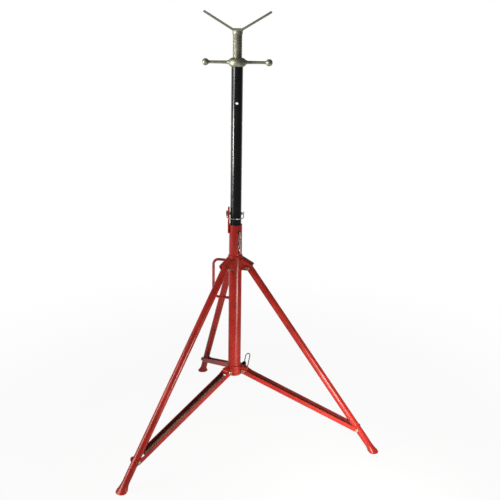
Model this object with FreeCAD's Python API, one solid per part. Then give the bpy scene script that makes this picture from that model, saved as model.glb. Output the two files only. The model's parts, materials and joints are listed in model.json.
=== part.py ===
import FreeCAD, Part
import math
import os

# A folding pipe stand in millimetres, +Z up. It is modelled about its own upright axis, with the saddle's V
# across X, and then moved so that the origin lies on the floor in the middle of the feet.

# The upright axis, seen from the middle of the feet
AXIS_X = -100.0
AXIS_Y = -78.0

# Directions round the axis, in degrees from +X
STATIONS = {"right": -13.2, "rear": 106.8, "front": 226.8}
HANDLE_ANGLE = 166.8
LOCK_PIN_ANGLE = 30.0
CHAIN_ANGLE = -58.0

# Main tube and the stop ring at its foot
TUBE_R = 30.15
TUBE_BORE_R = 26.25
TUBE_BOTTOM = 324.0
TUBE_TOP = 1080.0
STOP_RING_R = 33.5
STOP_RING_BOTTOM = 325.0

# Fold linkage: leg pivot on the hub, brace pivot on the collar, and the bolt that joins leg and brace
HUB_PIVOT_R = 66.0
HUB_PIVOT_Z = 880.0
SPLAY = 35.6
FOLDED_SPLAY = 5.0
LEG_TO_BRACE = 940.0
COLLAR_PIVOT_R = 50.0
COLLAR_PIVOT_Z = 350.0

# Hub
HUB_SLEEVE_R = 36.0
HUB_BOTTOM = 866.0
HUB_SHOULDER = 923.0
HUB_TOP = 931.0
HUB_TOP_R = 32.0
LUG_INSIDE = 18.0
LUG_WALL = 4.5
LUG_ROOT_Z = 926.0
LUG_LIP = (87.0, 894.6)
LUG_EYE_R = 13.0
LUG_BEND_R = 7.0

# Legs and feet
LEG_R = 16.7
LEG_BORE_R = 13.3
LEG_END_R = 16.9
NOTCH_PLAY = 0.7
BUSH_R = 9.0
BUSH_HALF = 17.5
FOOT_LENGTH = 64.0
FOOT_HALF_WIDE = 27.0
FOOT_HALF_DEEP = 24.0
FOOT_RIM = 7.0
SPIGOT_LENGTH = 36.0

# Braces: pressed U channels, open upwards
CHANNEL_INSIDE = 18.0
CHANNEL_WALL = 3.0
CHANNEL_TOP = 6.0
CHANNEL_BOTTOM = -16.6
CHANNEL_END_R = 13.0
CHANNEL_TAPER = 34.0
CHANNEL_TOE = 14.0
CHANNEL_BEND_R = 4.0
WEB_BACK_INNER = 17.5
WEB_BACK_OUTER = 50.0

# Bolts and nuts
BOLT_R = 5.0
RUNNING_PLAY = 0.06
HEX_FLATS = 16.0
HEX_CROWN = 0.95
HEAD_HEIGHT = 6.4
NUT_HEIGHT = 8.0
BOLT_TAIL = 2.0
BOLT_TIP = 0.8

# Sliding collar, its lugs and the boss of the lock pin
COLLAR_PLAY = 0.35
COLLAR_R = 35.3
COLLAR_BOTTOM = 333.0
COLLAR_TOP = 374.0
COLLAR_LUG_HALF = 17.0
COLLAR_LUG_R = 17.0
BOSS_R = 8.0
BOSS_END = 39.5

# Lock pin, drawn out of the tube, and its pull ring
LOCK_PIN_Z = 364.0
LOCK_PIN_R = 5.0
LOCK_PIN_NOSE = 31.4
LOCK_HOLE_R = 5.4
KNOB_START = 48.5
KNOB_END = 61.5
KNOB_R = 10.0
RING_AXIS = 55.0
RING_WIRE_R = 2.2
RING_END_R = 12.0
RING_LOW = -10.5
RING_HIGH = 40.0
RING_LEAN = 12.0

# Carry handle
HANDLE_ROD_R = 6.35
HANDLE_REACH = 106.0
HANDLE_TOP = 903.0
HANDLE_BOTTOM = 716.0
HANDLE_BEND_R = 26.0

# Keeper chain between two eyes on the tube
CHAIN_R = 38.0
CHAIN_WIRE_R = 1.7
CHAIN_BOTTOM = 950.0
CHAIN_TOP = 1046.0
CHAIN_LINKS = 5
LINK_END_R = 4.3
LINK_PLAY = 0.4
EYE_HALF_WIDTH = 6.5
EYE_BEND_R = 4.0

# Post and its height holes
POST_R = 25.4
POST_BORE_R = 22.35
POST_BOTTOM = 831.0
POST_TOP = 1776.0
CAP_TOP = 1781.0
CAP_SPIGOT = 14.0
CAP_SPIGOT_WALL = 1.2
HEIGHT_HOLE_R = 7.15
HEIGHT_HOLE_PITCH = 101.6
HOLES_BELOW_PIN = 2
HOLES_ABOVE_PIN = 4
CROSS_HOLE_Z = 1625.0

# Pin bracket, height pin and its wire bail
PIN_Z = 1130.0
PIN_R = 6.35
PIN_TIP = 31.8
PIN_HEAD_R = 11.0
PIN_HEAD_INNER = -36.5
PIN_HEAD_OUTER = -44.6
BRACKET_OUTER = -36.0
BRACKET_INNER = -28.5
BRACKET_HALF_WIDTH = 18.0
BRACKET_BOTTOM = 1040.0
BRACKET_TOP = 1159.0
BRACKET_NOTCH_PLAY = 0.4
BRACKET_CORNER_R = 5.0
BAIL_WIRE_R = 2.25
BAIL_AXIS_X = -40.8
BAIL_TIP_X = 35.6
BAIL_DROP = 16.0
BAIL_BEND_R = 4.5
BAIL_HEAD_END = 15.0
BAIL_TIP_END = 9.0

# Jack nut, screw and saddle
NUT_GAP = 0.3
NUT_TOP = 1818.0
NUT_RING_R = 39.5
NUT_FOOT_R = 31.0
NUT_SHOULDER_R = 27.0
NUT_BORE_PLAY = 0.5
ARM_ROOT_R = 6.8
ARM_END_R = 6.0
ARM_BALL_X = 137.0
ARM_BALL_R = 15.0
SCREW_R = 20.6
SCREW_ROOT_R = 18.2
SCREW_PITCH = 6.35
SCREW_BOTTOM = 1650.0
SADDLE_BOSS_R = 22.0
SADDLE_BOSS_BOTTOM = 1914.0
SADDLE_SEAT_Z = 1930.0
SADDLE_PLATE = 9.5
SADDLE_HALF_DEEP = 25.0
SADDLE_FLAT = 20.0
SADDLE_TIP_X = 141.0
SADDLE_TIP_Z = 2011.0

UP = FreeCAD.Vector(0, 0, 1)
ACROSS = FreeCAD.Vector(0, 1, 0)
ALONG = FreeCAD.Vector(1, 0, 0)
ORIGIN = FreeCAD.Vector(0, 0, 0)


# Small helpers
def vec(x, y, z):
    return FreeCAD.Vector(x, y, z)


def box(x0, x1, y0, y1, z0, z1):
    return Part.makeBox(x1 - x0, y1 - y0, z1 - z0, vec(x0, y0, z0))


def rod(radius, start, end):
    return Part.makeCylinder(radius, (end - start).Length, start, end - start)


def upright(radius, z0, z1):
    return rod(radius, vec(0, 0, z0), vec(0, 0, z1))


def crosswise(radius, x, z, half):
    return rod(radius, vec(x, -half, z), vec(x, half, z))


def sleeve(outer, inner, z0, z1):
    return upright(outer, z0, z1).cut(upright(inner, z0, z1))


def plate(outline, y0, y1):
    """A flat plate from (x, z) points, between two planes of constant y."""
    corners = [vec(x, y0, z) for x, z in outline]
    face = Part.Face(Part.makePolygon(corners + corners[:1]))
    return face.extrude(vec(0, y1 - y0, 0))


def edges_along(shape, direction):
    """The straight edges of a prism that run along a direction."""
    return [e for e in shape.Edges if e.tangentAt(e.FirstParameter).cross(direction).Length < 1e-6]


def turned(edges):
    """A solid of revolution about Z from the edges of an (x, z) profile."""
    return Part.Face(Part.Wire(edges)).revolve(ORIGIN, UP, 360)


def line(a, b):
    return Part.LineSegment(vec(a[0], 0, a[1]), vec(b[0], 0, b[1])).toShape()


def arc(a, middle, b):
    return Part.Arc(vec(a[0], 0, a[1]), vec(middle[0], 0, middle[1]), vec(b[0], 0, b[1])).toShape()


def bent_path(points, bend):
    """Straight runs through the points, joined by tangent arcs of one bend radius."""
    edges = []
    start = points[0]
    for before, corner, after in zip(points, points[1:], points[2:]):
        inward = (before - corner).normalize()
        outward = (after - corner).normalize()
        half_turn = (math.pi - inward.getAngle(outward)) / 2
        set_back = bend * math.tan(half_turn)
        first = corner + inward * set_back
        last = corner + outward * set_back
        middle = corner + (inward + outward).normalize() * bend * (1 / math.cos(half_turn) - 1)
        edges.append(Part.LineSegment(start, first).toShape())
        edges.append(Part.Arc(first, middle, last).toShape())
        start = last
    edges.append(Part.LineSegment(start, points[-1]).toShape())
    return Part.Wire(edges)


def wire_form(path, radius):
    """A round wire or rod swept along a path."""
    first = path.OrderedEdges[0]
    section = Part.Wire(Part.makeCircle(radius, first.valueAt(first.FirstParameter),
                                        first.tangentAt(first.FirstParameter)))
    return path.makePipeShell([section], True, True)


def hexagon(flats, height, y, outward):
    """A hexagonal prism along Y that starts at y, with its corners turned off at the +Y or -Y end."""
    corner = flats / math.sqrt(3)
    turns = [math.radians(60 * k) for k in range(7)]
    points = [vec(corner * math.cos(a), y, corner * math.sin(a)) for a in turns]
    prism = Part.Face(Part.makePolygon(points)).extrude(vec(0, height, 0))
    crown = HEX_CROWN * flats / 2
    start = vec(0, y if outward > 0 else y + height, 0)
    return prism.common(Part.makeCone(crown + height * math.sqrt(3), crown, height, start, ACROSS * outward))


def at_station(shape, angle):
    """Turn a shape that was modelled with its radius along X to its place round the axis."""
    placed = shape.copy()
    placed.rotate(ORIGIN, UP, angle)
    return placed


def hinged(shape, pivot_r, pivot_z, droop):
    """Place a shape modelled along +X from its pivot, drooping by an angle below the horizontal."""
    placed = shape.copy()
    placed.rotate(ORIGIN, ACROSS, droop)
    placed.translate(vec(pivot_r, 0, pivot_z))
    return placed


# Fold geometry, in the upright plane of one station
def leg_joint(splay):
    turn = math.radians(splay)
    return HUB_PIVOT_R + LEG_TO_BRACE * math.sin(turn), HUB_PIVOT_Z - LEG_TO_BRACE * math.cos(turn)


JOINT_R, JOINT_Z = leg_joint(SPLAY)
BRACE_LENGTH = math.hypot(JOINT_R - COLLAR_PIVOT_R, COLLAR_PIVOT_Z - JOINT_Z)
BRACE_DROOP = math.degrees(math.asin((COLLAR_PIVOT_Z - JOINT_Z) / BRACE_LENGTH))
LEG_LENGTH = HUB_PIVOT_Z / math.cos(math.radians(SPLAY))
LEG_DROOP = 90 - SPLAY
FOLDED_R, FOLDED_Z = leg_joint(FOLDED_SPLAY)
FOLDED_DROOP = math.degrees(math.acos((FOLDED_R - COLLAR_PIVOT_R) / BRACE_LENGTH))
COLLAR_LIFT = FOLDED_Z + BRACE_LENGTH * math.sin(math.radians(FOLDED_DROOP)) - COLLAR_PIVOT_Z


def hub_bolt_seen_from_leg(share):
    """Where the hub bolt lies in the leg's own frame when the fold has gone a share of its way.

    The collar lifts and the brace and leg turn in fixed proportion, so the leg's upper end leaves the hub
    bolt a little on the way and comes back to it at both ends of the fold.
    """
    droop = math.radians(BRACE_DROOP + share * (FOLDED_DROOP - BRACE_DROOP))
    splay = math.radians(SPLAY + share * (FOLDED_SPLAY - SPLAY))
    joint_r = COLLAR_PIVOT_R + BRACE_LENGTH * math.cos(droop)
    joint_z = COLLAR_PIVOT_Z + share * COLLAR_LIFT - BRACE_LENGTH * math.sin(droop)
    away_r = HUB_PIVOT_R - (joint_r - LEG_TO_BRACE * math.sin(splay))
    away_z = HUB_PIVOT_Z - (joint_z + LEG_TO_BRACE * math.cos(splay))
    along = away_r * math.sin(splay) - away_z * math.cos(splay)
    outward = away_r * math.cos(splay) + away_z * math.sin(splay)
    return along, outward


# Bolts and nuts, along the tangent of a station
def bolt(half_grip):
    """A hexagon bolt through two outer faces, with its head on the +Y side."""
    shank = rod(BOLT_R, vec(0, -half_grip - NUT_HEIGHT - BOLT_TAIL, 0), vec(0, half_grip, 0))
    shank = shank.makeChamfer(BOLT_TIP, [e for e in shank.Edges if e.Closed and e.CenterOfMass.y < 0])
    return shank.fuse(hexagon(HEX_FLATS, HEAD_HEIGHT, half_grip, 1)).removeSplitter()


def nut(half_grip):
    shape = hexagon(HEX_FLATS, NUT_HEIGHT, -half_grip - NUT_HEIGHT, -1)
    return shape.cut(crosswise(BOLT_R, 0, 0, 2 * half_grip))


def fastener_group(make, half_grip, pivot_r, pivot_z):
    """The same fastener at the three stations, as separate solids in one group."""
    solids = []
    for angle in STATIONS.values():
        shape = make(half_grip)
        shape.translate(vec(pivot_r, 0, pivot_z))
        solids.append(at_station(shape, angle))
    return Part.makeCompound(solids)


# Main tube and what is welded to it
def main_tube():
    tube = sleeve(TUBE_R, TUBE_BORE_R, TUBE_BOTTOM, TUBE_TOP)
    for z in (LOCK_PIN_Z, LOCK_PIN_Z + COLLAR_LIFT):
        hole = rod(LOCK_HOLE_R, vec(0, 0, z), vec(2 * TUBE_R, 0, z))
        tube = tube.cut(at_station(hole, LOCK_PIN_ANGLE))
    return tube


def stop_ring():
    return sleeve(STOP_RING_R, TUBE_R, STOP_RING_BOTTOM, COLLAR_BOTTOM - 0.3)


def hub_sleeve():
    outline = [(TUBE_R, HUB_BOTTOM), (HUB_SLEEVE_R, HUB_BOTTOM), (HUB_SLEEVE_R, HUB_SHOULDER),
               (HUB_TOP_R, HUB_TOP), (TUBE_R, HUB_TOP)]
    return turned([line(a, b) for a, b in zip(outline, outline[1:] + outline[:1])])


def hub_lug():
    """An inverted U: two ears with the bolt's eye, under a roof that slopes down the leg."""
    outside = LUG_INSIDE + LUG_WALL
    root = (TUBE_R, LUG_ROOT_Z)
    eye_bottom = HUB_PIVOT_Z - LUG_EYE_R
    outline = [(TUBE_R, eye_bottom), (HUB_PIVOT_R, eye_bottom), (HUB_PIVOT_R + LUG_EYE_R, HUB_PIVOT_Z),
               LUG_LIP, root]
    lug = plate(outline, -outside, outside)
    roof_line = vec(LUG_LIP[0] - root[0], 0, LUG_LIP[1] - root[1])
    lug = lug.makeFillet(LUG_BEND_R, edges_along(lug, roof_line))
    lug = lug.fuse(crosswise(LUG_EYE_R, HUB_PIVOT_R, HUB_PIVOT_Z, outside))
    slope = math.atan2(root[1] - LUG_LIP[1], LUG_LIP[0] - root[0])
    roof_drop = LUG_WALL / math.cos(slope)
    far_r = LUG_LIP[0] + LUG_EYE_R
    far_z = LUG_LIP[1] - roof_drop - (far_r - LUG_LIP[0]) * math.tan(slope)
    hollow = plate([(TUBE_R, HUB_BOTTOM - LUG_EYE_R), (far_r, HUB_BOTTOM - LUG_EYE_R), (far_r, far_z),
                    (root[0], root[1] - roof_drop)], -LUG_INSIDE, LUG_INSIDE)
    lug = lug.cut(hollow).cut(upright(HUB_SLEEVE_R, HUB_BOTTOM - LUG_EYE_R, LUG_ROOT_Z))
    lug = lug.cut(crosswise(BOLT_R, HUB_PIVOT_R, HUB_PIVOT_Z, 2 * outside))
    return lug.removeSplitter()


def carry_handle():
    points = [vec(HUB_SLEEVE_R - 3, 0, HANDLE_TOP), vec(HANDLE_REACH, 0, HANDLE_TOP),
              vec(HANDLE_REACH, 0, HANDLE_BOTTOM), vec(TUBE_R - 3, 0, HANDLE_BOTTOM)]
    handle = wire_form(bent_path(points, HANDLE_BEND_R), HANDLE_ROD_R)
    handle = handle.cut(upright(HUB_SLEEVE_R, HUB_BOTTOM, HUB_SHOULDER))
    handle = handle.cut(upright(TUBE_R, TUBE_BOTTOM, HUB_BOTTOM))
    return at_station(handle, HANDLE_ANGLE)


def pin_bracket():
    """A plate on the tube's side with a notch, open upwards, that the height pin lies in."""
    half = BRACKET_HALF_WIDTH
    fork = box(BRACKET_OUTER, BRACKET_INNER, -half, half, BRACKET_BOTTOM, BRACKET_TOP)
    fork = fork.makeFillet(BRACKET_CORNER_R, edges_along(fork, ALONG))
    fork = fork.cut(upright(TUBE_R, TUBE_BOTTOM, TUBE_TOP))
    notch_r = PIN_R + BRACKET_NOTCH_PLAY
    fork = fork.cut(rod(notch_r, vec(BRACKET_OUTER - 1, 0, PIN_Z), vec(BRACKET_INNER + 1, 0, PIN_Z)))
    return fork.cut(box(BRACKET_OUTER - 1, BRACKET_INNER + 1, -notch_r, notch_r, PIN_Z, BRACKET_TOP + 1))


def chain_eyes():
    """Two wire staples, welded to the tube, that the chain's end links hang on."""
    staples = []
    for z in (CHAIN_BOTTOM, CHAIN_TOP):
        points = [vec(TUBE_R - 3, -EYE_HALF_WIDTH, z), vec(CHAIN_R, -EYE_HALF_WIDTH, z),
                  vec(CHAIN_R, EYE_HALF_WIDTH, z), vec(TUBE_R - 3, EYE_HALF_WIDTH, z)]
        staple = wire_form(bent_path(points, EYE_BEND_R), CHAIN_WIRE_R)
        staples.append(at_station(staple.cut(upright(TUBE_R, TUBE_BOTTOM, TUBE_TOP)), CHAIN_ANGLE))
    return Part.makeCompound(staples)


def chain_link(straight):
    """An oval link about the origin, with its length along Z and its width along X."""
    half = straight / 2
    r = LINK_END_R
    edges = [line((r, -half), (r, half)), arc((r, half), (0, half + r), (-r, half)),
             line((-r, half), (-r, -half)), arc((-r, -half), (0, -half - r), (r, -half))]
    section = Part.Wire(Part.makeCircle(CHAIN_WIRE_R, vec(r, 0, -half), UP))
    return Part.Wire(edges).makePipeShell([section], True, True)


def keeper_chain():
    """Links from the upper eye to the lower one, each a quarter turn from the next."""
    bite = 2 * CHAIN_WIRE_R + LINK_PLAY
    half_link = (CHAIN_TOP - CHAIN_BOTTOM + (CHAIN_LINKS + 1) * bite) / (2 * CHAIN_LINKS)
    pitch = 2 * half_link - bite
    links = []
    for k in range(CHAIN_LINKS):
        link = chain_link(2 * (half_link - LINK_END_R))
        link.rotate(ORIGIN, UP, 90 * (k % 2))
        link.translate(vec(CHAIN_R, 0, CHAIN_TOP + bite - half_link - pitch * k))
        links.append(at_station(link, CHAIN_ANGLE))
    return Part.makeCompound(links)


# Legs
def leg_tube():
    """A round tube whose rounded upper end hooks over the hub bolt with a notch, open upwards and inwards."""
    top = vec(-LEG_END_R, 0, 0)
    tube = rod(LEG_R, top, ORIGIN).common(crosswise(LEG_END_R, 0, 0, 2 * LEG_R))
    tube = tube.fuse(rod(LEG_R, ORIGIN, vec(LEG_LENGTH - FOOT_LENGTH, 0, 0))).removeSplitter()
    tube = tube.cut(rod(LEG_BORE_R, top, vec(LEG_LENGTH - FOOT_LENGTH, 0, 0)))
    tube = tube.cut(crosswise(BUSH_R, LEG_TO_BRACE, 0, 2 * LEG_R))
    swept = [hub_bolt_seen_from_leg(k / 400) for k in range(401)]
    near = [p for p in swept if p[0] > top.x - 2 * BOLT_R]
    steepest = min(p[1] / p[0] for p in near if p[0] < -1)
    flattest = max(p[1] / p[0] for p in near if p[0] < -1)
    radius = BOLT_R + NOTCH_PLAY
    reach = top.x - 4 * BOLT_R
    sides = []
    for slope, side in ((steepest, 1), (flattest, -1)):
        turn = math.atan(slope)
        foot = (-side * radius * math.sin(turn), side * radius * math.cos(turn))
        sides.append([foot, (reach, foot[1] + (reach - foot[0]) * slope)])
    mouth = plate([sides[0][0], sides[0][1], sides[1][1], sides[1][0]], -2 * LEG_R, 2 * LEG_R)
    return tube.cut(crosswise(radius, 0, 0, 2 * LEG_R)).cut(mouth)


def leg_bush():
    bush = crosswise(BUSH_R, LEG_TO_BRACE, 0, BUSH_HALF)
    return bush.cut(crosswise(BOLT_R + RUNNING_PLAY, LEG_TO_BRACE, 0, BUSH_HALF))


def oval(center, half_wide, half_deep, normal):
    """A closed oval with its width along Y, square to the given normal."""
    edge = Part.Ellipse(ORIGIN, half_wide, half_deep).toShape()
    turn = FreeCAD.Rotation(ACROSS, normal.cross(ACROSS), normal, "XYZ")
    edge.Placement = FreeCAD.Placement(center, turn)
    return Part.Wire(edge)


def foot():
    """A flared shoe from the leg's round end to a flat oval base, with a spigot inside the leg."""
    turn = math.radians(SPLAY)
    up_leg = vec(-math.sin(turn), 0, math.cos(turn))
    base = vec(HUB_PIVOT_R + LEG_LENGTH * math.sin(turn), 0, 0)
    top = base + up_leg * FOOT_LENGTH
    waist = base + up_leg * (FOOT_LENGTH * 0.55)
    lean = (up_leg + UP).normalize()
    rim = base + up_leg * (FOOT_RIM / up_leg.z)
    sections = [oval(top, LEG_R + 0.01, LEG_R, up_leg), oval(waist, LEG_R * 1.1, LEG_R * 1.02, lean),
                oval(rim, FOOT_HALF_WIDE, FOOT_HALF_DEEP, UP),
                oval(base, FOOT_HALF_WIDE, FOOT_HALF_DEEP, UP)]
    shoe = Part.makeLoft(sections[:3], True, False).fuse(Part.makeLoft(sections[2:], True, True))
    spigot = rod(LEG_BORE_R, top - up_leg, top + up_leg * SPIGOT_LENGTH)
    return shoe.fuse(spigot).removeSplitter()


# Braces
def brace():
    """A channel along +X from the collar pivot, with round eyes at its ends and its web set back."""
    outside = CHANNEL_INSIDE + CHANNEL_WALL
    length = BRACE_LENGTH
    outline = [(0, CHANNEL_END_R), (CHANNEL_TAPER, CHANNEL_TOP), (length - CHANNEL_TAPER, CHANNEL_TOP),
               (length, CHANNEL_END_R), (length, -CHANNEL_END_R), (length - CHANNEL_TOE, CHANNEL_BOTTOM),
               (CHANNEL_TOE, CHANNEL_BOTTOM), (0, -CHANNEL_END_R)]
    body = plate(outline, -outside, outside)
    lower = [e for e in edges_along(body, ALONG) if e.CenterOfMass.z < 0]
    body = body.makeFillet(CHANNEL_BEND_R, lower)
    for x in (0, length):
        body = body.fuse(crosswise(CHANNEL_END_R, x, 0, outside))
    floor = CHANNEL_BOTTOM + CHANNEL_WALL
    inside = (-CHANNEL_INSIDE, CHANNEL_INSIDE)
    body = body.cut(box(-length, 2 * length, *inside, floor, -2 * CHANNEL_BOTTOM))
    body = body.cut(box(-length, WEB_BACK_INNER, *inside, 2 * CHANNEL_BOTTOM, floor))
    body = body.cut(box(length - WEB_BACK_OUTER, 2 * length, *inside, 2 * CHANNEL_BOTTOM, floor))
    body = body.cut(crosswise(BOLT_R + RUNNING_PLAY, 0, 0, 2 * outside))
    return body.cut(crosswise(BOLT_R, length, 0, 2 * outside)).removeSplitter()


# Sliding collar
def brace_collar():
    """A sleeve that slides on the main tube, with a boss bored for the lock pin."""
    outer = upright(COLLAR_R, COLLAR_BOTTOM, COLLAR_TOP)
    boss = at_station(rod(BOSS_R, vec(0, 0, LOCK_PIN_Z), vec(BOSS_END, 0, LOCK_PIN_Z)), LOCK_PIN_ANGLE)
    bore = rod(LOCK_PIN_R + RUNNING_PLAY, vec(0, 0, LOCK_PIN_Z), vec(2 * BOSS_END, 0, LOCK_PIN_Z))
    collar = outer.fuse(boss).cut(at_station(bore, LOCK_PIN_ANGLE))
    return collar.cut(upright(TUBE_R + COLLAR_PLAY, TUBE_BOTTOM, TUBE_TOP)).removeSplitter()


def collar_lug():
    """A drilled block on the collar that fills one brace's channel."""
    half = COLLAR_LUG_HALF
    lug = box(0, COLLAR_PIVOT_R, -half, half, COLLAR_PIVOT_Z - COLLAR_LUG_R, COLLAR_PIVOT_Z + COLLAR_LUG_R)
    lug = lug.fuse(crosswise(COLLAR_LUG_R, COLLAR_PIVOT_R, COLLAR_PIVOT_Z, half))
    lug = lug.cut(crosswise(BOLT_R, COLLAR_PIVOT_R, COLLAR_PIVOT_Z, 2 * half))
    return lug.cut(upright(COLLAR_R, COLLAR_BOTTOM, COLLAR_TOP)).removeSplitter()


def lock_pin():
    """A round pin with a knob, drawn clear of the tube and bored for its ring."""
    pin = rod(LOCK_PIN_R, vec(LOCK_PIN_NOSE, 0, 0), vec(KNOB_START, 0, 0))
    knob = rod(KNOB_R, vec(KNOB_START, 0, 0), vec(KNOB_END, 0, 0))
    rims = [e for e in knob.Edges if e.Closed]
    pin = pin.fuse(knob.makeFillet(1.5, rims))
    hole = rod(RING_WIRE_R + RUNNING_PLAY, vec(0, 0, -2 * KNOB_R), vec(0, 0, 2 * KNOB_R))
    hole.rotate(ORIGIN, ACROSS, RING_LEAN)
    hole.translate(vec(RING_AXIS, 0, 0))
    pin = pin.cut(hole)
    pin.translate(vec(0, 0, LOCK_PIN_Z))
    return at_station(pin, LOCK_PIN_ANGLE)


def pull_ring():
    """A long wire ring whose inner side passes through the knob, so that it swings like a gate."""
    width = 2 * RING_END_R
    crown = RING_HIGH + RING_END_R
    sole = RING_LOW - RING_END_R
    edges = [line((0, RING_LOW), (0, RING_HIGH)),
             arc((0, RING_HIGH), (RING_END_R, crown), (width, RING_HIGH)),
             line((width, RING_HIGH), (width, RING_LOW)),
             arc((width, RING_LOW), (RING_END_R, sole), (0, RING_LOW))]
    section = Part.Wire(Part.makeCircle(RING_WIRE_R, vec(0, 0, RING_LOW), UP))
    ring = Part.Wire(edges).makePipeShell([section], True, True)
    ring.rotate(ORIGIN, ACROSS, RING_LEAN)
    ring.translate(vec(RING_AXIS, 0, LOCK_PIN_Z))
    return at_station(ring, LOCK_PIN_ANGLE)


# Post and height pin
def post():
    tube = sleeve(POST_R, POST_BORE_R, POST_BOTTOM, POST_TOP)
    for k in range(-HOLES_BELOW_PIN, HOLES_ABOVE_PIN + 1):
        z = PIN_Z + k * HEIGHT_HOLE_PITCH
        tube = tube.cut(rod(HEIGHT_HOLE_R, vec(-2 * POST_R, 0, z), vec(2 * POST_R, 0, z)))
    return tube.cut(crosswise(HEIGHT_HOLE_R, 0, CROSS_HOLE_Z, 2 * POST_R))


def post_cap():
    """A bearing ring on the post's end, with a spigot inside the post."""
    inner = POST_BORE_R - CAP_SPIGOT_WALL
    ring = upright(POST_R, POST_TOP, CAP_TOP).fuse(upright(POST_BORE_R, POST_TOP - CAP_SPIGOT, POST_TOP))
    return ring.cut(upright(inner, POST_TOP - CAP_SPIGOT, CAP_TOP)).removeSplitter()


def height_pin():
    pin = rod(PIN_R, vec(PIN_HEAD_INNER, 0, PIN_Z), vec(PIN_TIP, 0, PIN_Z))
    tip = [e for e in pin.Edges if e.Closed and e.CenterOfMass.x > 0]
    pin = pin.makeChamfer(2.0, tip)
    head = rod(PIN_HEAD_R, vec(PIN_HEAD_OUTER, 0, PIN_Z), vec(PIN_HEAD_INNER, 0, PIN_Z))
    pin = pin.fuse(head.makeFillet(1.2, [e for e in head.Edges if e.Closed]))
    hole = rod(BAIL_WIRE_R + RUNNING_PLAY, vec(BAIL_AXIS_X, 0, PIN_Z - 2 * PIN_HEAD_R),
               vec(BAIL_AXIS_X, 0, PIN_Z + 2 * PIN_HEAD_R))
    return pin.cut(hole)


def pin_bail():
    """A wire from the pin's head, round the front of the post, to the pin's tip."""
    low = PIN_Z - BAIL_DROP
    reach = (BAIL_TIP_X - BAIL_AXIS_X) / 2
    middle_x = (BAIL_TIP_X + BAIL_AXIS_X) / 2
    bend = BAIL_BEND_R
    lean_in = bend * (1 - math.sqrt(0.5))
    at_head = vec(BAIL_AXIS_X, 0, PIN_Z + BAIL_HEAD_END)
    at_tip = vec(BAIL_TIP_X, 0, PIN_Z + BAIL_TIP_END)
    edges = [Part.LineSegment(at_head, vec(BAIL_AXIS_X, 0, low + bend)).toShape(),
             Part.Arc(vec(BAIL_AXIS_X, 0, low + bend), vec(BAIL_AXIS_X, -lean_in, low + lean_in),
                      vec(BAIL_AXIS_X, -bend, low)).toShape(),
             Part.Arc(vec(BAIL_AXIS_X, -bend, low), vec(middle_x, -bend - reach, low),
                      vec(BAIL_TIP_X, -bend, low)).toShape(),
             Part.Arc(vec(BAIL_TIP_X, -bend, low), vec(BAIL_TIP_X, -lean_in, low + lean_in),
                      vec(BAIL_TIP_X, 0, low + bend)).toShape(),
             Part.LineSegment(vec(BAIL_TIP_X, 0, low + bend), at_tip).toShape()]
    return wire_form(Part.Wire(edges), BAIL_WIRE_R)


# Jack nut, screw and saddle
def jack_nut():
    """A rounded ring with two tapered arms that end in balls."""
    bottom = CAP_TOP + NUT_GAP
    bore = SCREW_R + NUT_BORE_PLAY
    middle = (bottom + NUT_TOP) / 2
    ring = turned([line((bore, bottom), (NUT_FOOT_R, bottom)),
                   arc((NUT_FOOT_R, bottom), (NUT_RING_R, middle), (NUT_SHOULDER_R, NUT_TOP)),
                   line((NUT_SHOULDER_R, NUT_TOP), (bore, NUT_TOP)), line((bore, NUT_TOP), (bore, bottom))])
    for side in (1, -1):
        start = bore + 4
        arm = Part.makeCone(ARM_ROOT_R, ARM_END_R, ARM_BALL_X - start, vec(side * start, 0, middle),
                            ALONG * side)
        ring = ring.fuse(arm).fuse(Part.makeSphere(ARM_BALL_R, vec(side * ARM_BALL_X, 0, middle)))
    return ring.removeSplitter()


def jack_screw():
    """A round bar with the thread as plain ridges at the thread's pitch."""
    flank = SCREW_PITCH / 4
    count = int((SADDLE_BOSS_BOTTOM - SCREW_BOTTOM) / SCREW_PITCH)
    profile = [(0, SCREW_BOTTOM), (SCREW_ROOT_R, SCREW_BOTTOM)]
    for k in range(count):
        z = SCREW_BOTTOM + k * SCREW_PITCH
        profile += [(SCREW_ROOT_R, z + flank * 0.5), (SCREW_R, z + flank * 1.5), (SCREW_R, z + flank * 2.5),
                    (SCREW_ROOT_R, z + flank * 3.5)]
    profile += [(SCREW_ROOT_R, SADDLE_BOSS_BOTTOM), (0, SADDLE_BOSS_BOTTOM)]
    return turned([line(a, b) for a, b in zip(profile, profile[1:] + profile[:1])])


def saddle_boss():
    boss = upright(SADDLE_BOSS_R, SADDLE_BOSS_BOTTOM, SADDLE_SEAT_Z)
    lower_rim = [e for e in boss.Edges if e.Closed and e.CenterOfMass.z < SADDLE_SEAT_Z - 1]
    return boss.makeFillet(3.0, lower_rim)


def v_saddle():
    """One flat bar, bent up into a V on both sides of a short flat."""
    seat = SADDLE_SEAT_Z
    top = seat + SADDLE_PLATE
    rise = math.atan2(SADDLE_TIP_Z - top, SADDLE_TIP_X - SADDLE_FLAT)
    under = (SADDLE_TIP_X + SADDLE_PLATE * math.sin(rise), SADDLE_TIP_Z - SADDLE_PLATE * math.cos(rise))
    flat = SADDLE_FLAT + SADDLE_PLATE * math.tan(rise / 2)
    half = [(flat, seat), under, (SADDLE_TIP_X, SADDLE_TIP_Z), (SADDLE_FLAT, top)]
    outline = half + [(-x, z) for x, z in reversed(half)]
    return plate(outline, -SADDLE_HALF_DEEP, SADDLE_HALF_DEEP)


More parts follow.
